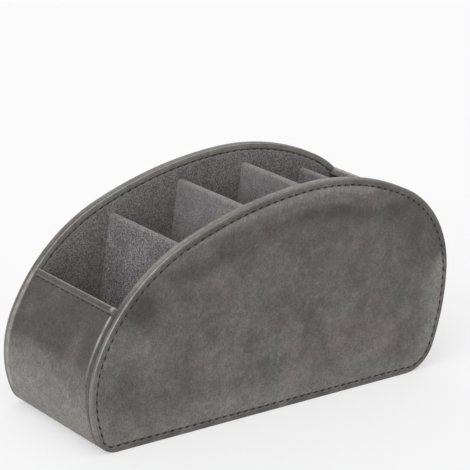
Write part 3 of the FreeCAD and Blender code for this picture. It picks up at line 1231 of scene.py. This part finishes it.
def cloudiness_group():
    """Slow clouds and finer smears over a surface."""
    shop, given, result = new_group("cloudiness", ("Cloud Size", "Smear Size"), ("Cloud", "Tint", "Smear"))
    place = given["Place"]
    cloud_scale = shop.scale_for(given["Cloud Size"])
    shifted = shop.vector("ADD", place, (0.37, 0.11, 0.23))
    cloud = shop.noise(place, cloud_scale, 4.0, 0.55, 0.4)
    tint = shop.noise(shifted, cloud_scale, 3.0, 0.5, 0.5)
    smear = shop.noise(place, shop.scale_for(given["Smear Size"]), 5.0, 0.65, 0.7)
    shop.give(result, {
        "Cloud": shop.ranged(cloud, 0.33, 0.67),
        "Tint": shop.ranged(tint, 0.38, 0.62),
        "Smear": shop.ranged(smear, 0.3, 0.7),
    })
    return shop.tree


def fine_grain_group():
    """Small pores or fibres: a value for colour and a height for bumps."""
    sizes = ("Grain Size", "Speck Size", "Speck Share", "Sharpness")
    shop, given, result = new_group("fine_grain", sizes, ("Value", "Height"))
    place = given["Place"]
    share = given["Speck Share"]
    grain = shop.noise(place, shop.scale_for(given["Grain Size"]), 3.0, 0.6, 0.3)
    speck = shop.noise(place, shop.scale_for(given["Speck Size"]), 2.0, 0.5, 0.0)
    both = shop.plus(shop.times(grain, shop.math("SUBTRACT", 1.0, share)), shop.times(speck, share))
    sharp = shop.times(shop.math("SUBTRACT", both, 0.5), given["Sharpness"])
    shop.give(result, {"Value": shop.clamped(shop.plus(sharp, 0.5)), "Height": both})
    return shop.tree


def rubbed_and_lit_edge_group():
    """Mask of paler places, partly from rubbing and partly painted highlight and painted light: a painted
    value, broken up by small noise.
    """
    shop, given, result = new_group("rubbed_and_lit_edge", ("Wear", "Break Size", "Amount"), ("Mask",))
    broken = shop.noise(given["Place"], shop.scale_for(given["Break Size"]), 3.0, 0.6, 0.4)
    share = shop.ranged(broken, 0.25, 0.75, 0.45, 1.25)
    mask = shop.times(shop.times(given["Wear"], share), given["Amount"])
    shop.give(result, {"Mask": shop.clamped(mask)})
    return shop.tree


def brushed_streaks_group():
    """Sparse streaks that run one way over a surface, as a brush or a fingernail leaves them."""
    shop, given, result = new_group("brushed_streaks", ("Length", "Breadth", "Turn", "Share"), ("Streak",))
    turned = shop.put("ShaderNodeVectorRotate", {"rotation_type": "AXIS_ANGLE"}, Vector=given["Place"],
                      Axis=(0.35, 0.85, 0.25), Angle=given["Turn"]).outputs[0]
    long_scale = shop.scale_for(given["Length"])
    broad_scale = shop.scale_for(given["Breadth"])
    scales = shop.put("ShaderNodeCombineXYZ", X=long_scale, Y=broad_scale, Z=broad_scale).outputs[0]
    line = shop.noise(shop.vector("MULTIPLY", turned, scales), 1.0, 3.0, 0.6, 0.5)
    low = shop.math("SUBTRACT", 0.72, shop.times(given["Share"], 0.3))
    over = shop.times(shop.math("SUBTRACT", line, low), 6.0)
    shop.give(result, {"Streak": shop.clamped(over)})
    return shop.tree


cloudiness = cloudiness_group()
fine_grain = fine_grain_group()
rubbed_and_lit_edge = rubbed_and_lit_edge_group()
brushed_streaks = brushed_streaks_group()


# Materials

def new_material(name):
    """Material with only a Principled shader and an output, the shop that dresses it, and the shader."""
    material = bpy.data.materials.new(name)
    material.use_nodes = True
    material.node_tree.nodes.clear()
    shop = Shop(material.node_tree)
    shader = shop.put("ShaderNodeBsdfPrincipled")
    shop.put("ShaderNodeOutputMaterial", Surface=shader.outputs[0])
    return material, shop, shader


def dress(shop, shader, colour, rough, gloss, height, strength, distance):
    """Gives a material's shader its colour, roughness, gloss and bumps."""
    bump = shop.put("ShaderNodeBump", Strength=strength, Distance=distance, Height=height).outputs[0]
    shop.give(shader, {"Base Color": colour, "Roughness": rough, "Specular IOR Level": gloss, "Normal": bump})


def leather_material(name, mottling):
    """Waxed grey leather: warm and cool clouds, smears, brush marks, pores, paler folds from rubbing with
    painted highlights, and painted shade in seams and grooves.
    """
    material, shop, shader = new_material(name)
    place = shop.object_place()
    clouds = shop.use(cloudiness, Place=place, Cloud_Size=0.026, Smear_Size=0.0075)
    blotches = shop.use(cloudiness, Place=place, Cloud_Size=0.011, Smear_Size=0.0032)
    grain = shop.use(fine_grain, Place=place, Grain_Size=0.0016, Speck_Size=0.0008,
                     Speck_Share=0.6, Sharpness=4.5)
    rubbed_and_lit = shop.use(rubbed_and_lit_edge, Place=place, Wear=shop.painted("wear"), Break_Size=0.004, Amount=1.0)
    strokes = shop.use(brushed_streaks, Place=place, Length=0.0110, Breadth=0.0011, Turn=0.6, Share=0.55)
    nicks = shop.use(brushed_streaks, Place=place, Length=0.0070, Breadth=0.0008, Turn=2.1, Share=0.45)
    fibres = shop.use(brushed_streaks, Place=place, Length=0.0034, Breadth=0.0009, Turn=1.5, Share=0.85)

    # Clouds, painted stains, and painted pale places that are partly pale leather and partly painted
    # highlight and painted light
    tint = shop.blend(clouds["Tint"], leather_warm, leather_cool)
    dark = shop.blend(clouds["Cloud"], leather_dark, tint)
    lifted = shop.blend(shop.ranged(blotches["Cloud"], 0.45, 1.0, 0.0, 0.22), dark, leather_light)
    painted_cloud_and_light = shop.painted("cloud")
    shadow = shop.ranged(shop.times(painted_cloud_and_light, -1.0), 0.0, 1.3)
    glow = shop.ranged(painted_cloud_and_light, 0.0, 1.1)
    stained = shop.blend(shop.times(shadow, 0.93), lifted, leather_stained)
    paled = shop.blend(shop.times(glow, 0.68), stained, leather_pale_and_lit)

    # Mottling, marks, painted shade in seams and grooves, and paler folds from rubbing with painted
    # highlights
    smear = shop.around_one(clouds["Smear"], 0.11 * mottling)
    mottle = shop.around_one(blotches["Smear"], 0.07 * mottling)
    speck = shop.around_one(grain["Value"], 0.20 * mottling)
    marks = shop.times(shop.plus(strokes["Streak"], nicks["Streak"]), 0.10)
    marks = shop.plus(marks, shop.times(shop.math("SUBTRACT", fibres["Streak"], 0.5), 0.13))
    factor = shop.plus(shop.times(shop.times(smear, mottle), speck), marks)
    seam = shop.blend(shop.times(shop.painted("painted_shade"), 0.55), shop.dim(paled, factor), leather_painted_shade)
    worn_and_lit = shop.blend(shop.times(rubbed_and_lit["Mask"], 0.85), seam, leather_rubbed_and_lit)
    rough = shop.plus(shop.ranged(clouds["Smear"], 0.0, 1.0, 0.46, 0.60),
                      shop.ranged(grain["Value"], 0.0, 1.0, -0.05, 0.05))
    height = shop.plus(grain["Height"], shop.times(blotches["Smear"], 0.35))
    height = shop.math("SUBTRACT", height, shop.times(nicks["Streak"], 0.25))
    dress(shop, shader, worn_and_lit, rough, 0.42, height, 0.35, 0.00035)
    return material


def suede_material(name, tones, fibre, contrast):
    """Brushed suede: speckled fibres, patches where the nap lies another way, painted shade low down, and
    paler places from rubbing and from painted light.
    """
    material, shop, shader = new_material(name)
    main, other, pale = tones
    place = shop.object_place()
    clouds = shop.use(cloudiness, Place=place, Cloud_Size=0.018, Smear_Size=0.005)
    fibres = shop.use(fine_grain, Place=place, Grain_Size=fibre * 1.8, Speck_Size=fibre,
                      Speck_Share=0.75, Sharpness=7.0)
    rubbed_and_lit = shop.use(rubbed_and_lit_edge, Place=place, Wear=shop.painted("wear"), Break_Size=0.003, Amount=0.8)
    strokes = shop.use(brushed_streaks, Place=place, Length=0.0060, Breadth=0.0014, Turn=1.2, Share=0.6)
    brushed = shop.blend(clouds["Cloud"], main, other)
    factor = shop.times(shop.around_one(fibres["Value"], contrast), shop.around_one(clouds["Smear"], 0.10))
    factor = shop.plus(factor, shop.times(strokes["Streak"], 0.07))
    # Painted shade low down, then paler places from rubbing and from painted light
    shaded_low = shop.blend(shop.times(shop.painted("painted_shade"), 0.25), shop.dim(brushed, factor), suede_shaded)
    worn_and_lit = shop.blend(rubbed_and_lit["Mask"], shaded_low, pale)
    rough = shop.ranged(fibres["Value"], 0.0, 1.0, 0.86, 1.0)
    shop.give(shader, {"Sheen Weight": 0.18, "Sheen Roughness": 0.6})
    dress(shop, shader, worn_and_lit, rough, 0.15, fibres["Height"], 0.55, 0.0005)
    return material


def thread_material():
    """Twisted waxed thread, darker than the leather."""
    material, shop, shader = new_material("waxed_thread")
    grain = shop.use(fine_grain, Place=shop.object_place(), Grain_Size=0.0011, Speck_Size=0.0004,
                     Speck_Share=0.45, Sharpness=2.5)
    turns = shop.plus(shop.math("DIVIDE", shop.painted("travel"), thread_ply_length), shop.painted("around"))
    ply = shop.math("SINE", shop.times(turns, 2 * math.pi))
    shade = shop.ranged(shop.plus(shop.times(ply, 0.3), grain["Value"]), 0.0, 1.0)
    rough = shop.ranged(grain["Value"], 0.0, 1.0, 0.5, 0.75)
    dress(shop, shader, shop.blend(shade, thread_dark, thread_light), rough, 0.3, ply, 0.6, 0.0001)
    return material


def board_material():
    """Pressed fibreboard, hidden under the leather and the suede."""
    material, shop, shader = new_material("pressed_board")
    place = shop.object_place()
    grain = shop.use(fine_grain, Place=place, Grain_Size=0.0030, Speck_Size=0.0009,
                     Speck_Share=0.45, Sharpness=3.0)
    clouds = shop.use(cloudiness, Place=place, Cloud_Size=0.040, Smear_Size=0.010)
    base = shop.blend(clouds["Cloud"], board_brown, board_light)
    colour = shop.blend(grain["Value"], base, board_fibre)
    rough = shop.ranged(grain["Value"], 0.0, 1.0, 0.75, 0.95)
    dress(shop, shader, colour, rough, 0.5, grain["Height"], 0.4, 0.0004)
    return material


leather = leather_material("waxed_leather", 1.0)
strip_leather = leather_material("waxed_leather_strip", 1.3)
lining_suede = suede_material("lining_suede", lining_tones, 0.00065, 0.42)
divider_suede = suede_material("divider_suede", divider_tones, 0.00075, 0.53)
thread = thread_material()
board = board_material()


# The holder

panel_leather(-1, "near_panel_leather", near_panel_clouds)
panel_leather(1, "far_panel_leather", scattered_clouds(5))
panel_rim(-1, "near_panel_rim")
panel_rim(1, "far_panel_rim")
panel_lining(-1, "near_panel_lining")
panel_lining(1, "far_panel_lining")
wrap_leather()
wall_linings()
for number in range(1, divider_count + 1):
    divider_cover(number)
for side in (-1, 1):
    panel_stitches(side, False)
    panel_stitches(side, True)
top_stitches("lip_stitches", lip_direction, 1)
top_stitches("rear_wall_stitches", rear_direction, -1)
for name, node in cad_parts.items():
    if name.endswith("_board"):
        node.data.materials.clear()
        node.data.materials.append(board)


# Camera, floor and light

camera_azimuth = math.radians(-37.70371)
camera_elevation = math.radians(18.39578)
camera_roll = math.radians(1.84227)
camera_distance = 1.166180
camera_target = Vector((-0.0331, -0.0440, 0.108985))
focal_pixels = 2172.05
picture_pixels = 470.0
film_width = 36.0
camera_reach = 50
floor_reach = 12.0
floor_lift = 0.505
surround_level = 0.54


def direction_to(azimuth, elevation):
    """Unit vector towards an azimuth, counted from the near side, and an elevation."""
    return Vector((
        math.sin(azimuth) * math.cos(elevation),
        -math.cos(azimuth) * math.cos(elevation),
        math.sin(elevation),
    ))


def set_camera():
    """Camera at the angle from which the holder is seen, turned slightly about its own axis."""
    back = direction_to(camera_azimuth, camera_elevation)
    level = (-back).cross(Vector((0, 0, 1))).normalized()
    upright = level.cross(-back)
    right = math.cos(camera_roll) * level + math.sin(camera_roll) * upright
    top = math.cos(camera_roll) * upright - math.sin(camera_roll) * level
    lens = bpy.data.cameras.new("camera")
    lens.sensor_width = film_width
    lens.lens = focal_pixels * film_width / picture_pixels
    lens.clip_end = camera_reach
    camera = bpy.data.objects.new("camera", lens)
    bpy.context.scene.collection.objects.link(camera)
    turn = Matrix((right, top, back)).transposed().to_4x4()
    camera.matrix_world = Matrix.Translation(camera_target + back * camera_distance) @ turn
    bpy.context.scene.camera = camera


def seen_directly(shop):
    """1 for what the camera sees, straight on or through gloss, and 0 for light on its way."""
    path = shop.put("ShaderNodeLightPath").outputs
    first = shop.math("MAXIMUM", path["Is Camera Ray"], path["Is Glossy Ray"])
    return shop.math("MAXIMUM", first, path["Is Transmission Ray"])


def set_floor():
    """Plain pale floor that keeps the holder's shadow."""
    mesh = bpy.data.meshes.new("floor")
    corners = [(x * floor_reach, y * floor_reach, 0) for x, y in ((-1, -1), (1, -1), (1, 1), (-1, 1))]
    mesh.from_pydata(corners, [], [(0, 1, 2, 3)])
    floor = bpy.data.objects.new("floor", mesh)
    bpy.context.scene.collection.objects.link(floor)
    material = bpy.data.materials.new("pale_floor")
    material.use_nodes = True
    material.node_tree.nodes.clear()
    shop = Shop(material.node_tree)
    seen = seen_directly(shop)
    diffuse = shop.put("ShaderNodeBsdfDiffuse", Color=shop.blend(seen, floor_seen, floor_unseen))
    lift = shop.put("ShaderNodeEmission", Color=white, Strength=shop.times(seen, floor_lift))
    both = shop.put("ShaderNodeAddShader", i0=diffuse.outputs[0], i1=lift.outputs[0])
    shop.put("ShaderNodeOutputMaterial", Surface=both.outputs[0])
    mesh.materials.append(material)


def set_world():
    """Even surrounding light, seen as white."""
    world = bpy.data.worlds.new("surround")
    bpy.context.scene.world = world
    world.use_nodes = True
    world.node_tree.nodes.clear()
    shop = Shop(world.node_tree)
    lit = shop.put("ShaderNodeBackground", Color=white, Strength=surround_level).outputs[0]
    seen = shop.put("ShaderNodeBackground", Color=background_seen, Strength=1.0).outputs[0]
    choice = shop.put("ShaderNodeMixShader", i0=seen_directly(shop), i1=lit, i2=seen)
    shop.put("ShaderNodeOutputWorld", Surface=choice.outputs[0])


def add_sun(name, azimuth_degrees, elevation_degrees, level, spread_degrees):
    """Broad even lamp from a direction round the holder."""
    lamp = bpy.data.lights.new(name, "SUN")
    lamp.energy = level
    lamp.angle = math.radians(spread_degrees)
    light = bpy.data.objects.new(name, lamp)
    bpy.context.scene.collection.objects.link(light)
    toward = direction_to(math.radians(azimuth_degrees), math.radians(elevation_degrees))
    light.rotation_mode = "QUATERNION"
    light.rotation_quaternion = toward.to_track_quat("Z", "Y")


set_camera()
set_world()
set_floor()
add_sun("overhead", -50, 62, 0.95, 60)
add_sun("front_left", -68, 16, 1.15, 50)
add_sun("rear", 150, 35, 0.40, 60)
bpy.context.scene.view_settings.view_transform = "Standard"
